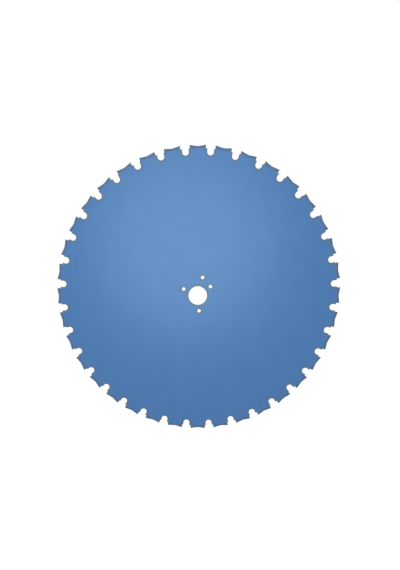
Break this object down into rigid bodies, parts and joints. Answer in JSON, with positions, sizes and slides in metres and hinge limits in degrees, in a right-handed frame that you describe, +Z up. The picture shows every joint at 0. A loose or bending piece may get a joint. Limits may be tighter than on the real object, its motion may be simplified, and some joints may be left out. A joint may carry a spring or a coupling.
{
  "type": "diamond blade",
  "caption": "Large wall saw blade: a flat toothed steel core with a diamond segment laser-welded on every land, a central bore and screw holes for the flange.",
  "frame": {"origin": "middle of the bore, halfway through the core's thickness", "axes": "+Z up, the blade turns about Y, and its front face looks along -Y"},
  "size_m": [0.9136, 0.0048, 0.9136],
  "materials": {
    "blue_lacquer": "satin",
    "diamond_matrix": "rough sintered metal, sprayed the same blue on its sides",
    "foot_steel": "satin",
    "weld_bead": "rippled, satin"
  },
  "bodies": {
    "root": {"core": "blue_lacquer", "segment_01": "diamond_matrix", "segment_02": "diamond_matrix", "segment_03": "diamond_matrix", "segment_04": "diamond_matrix", "segment_05": "diamond_matrix", "segment_06": "diamond_matrix", "segment_07": "diamond_matrix", "segment_08": "diamond_matrix", "segment_09": "diamond_matrix", "segment_10": "diamond_matrix", "segment_11": "diamond_matrix", "segment_12": "diamond_matrix", "segment_13": "diamond_matrix", "segment_14": "diamond_matrix", "segment_15": "diamond_matrix", "segment_16": "diamond_matrix", "segment_17": "diamond_matrix", "segment_18": "diamond_matrix", "segment_19": "diamond_matrix", "segment_20": "diamond_matrix", "segment_21": "diamond_matrix", "segment_22": "diamond_matrix", "segment_23": "diamond_matrix", "segment_24": "diamond_matrix", "segment_25": "diamond_matrix", "segment_26": "diamond_matrix", "segment_27": "diamond_matrix", "segment_28": "diamond_matrix", "segment_29": "diamond_matrix", "segment_30": "diamond_matrix", "segment_31": "diamond_matrix", "segment_32": "diamond_matrix", "segment_33": "diamond_matrix", "segment_34": "diamond_matrix", "segment_35": "diamond_matrix", "segment_36": "diamond_matrix", "segment_feet": "foot_steel", "weld_seams": "weld_bead"}
  },
  "joints": []
}
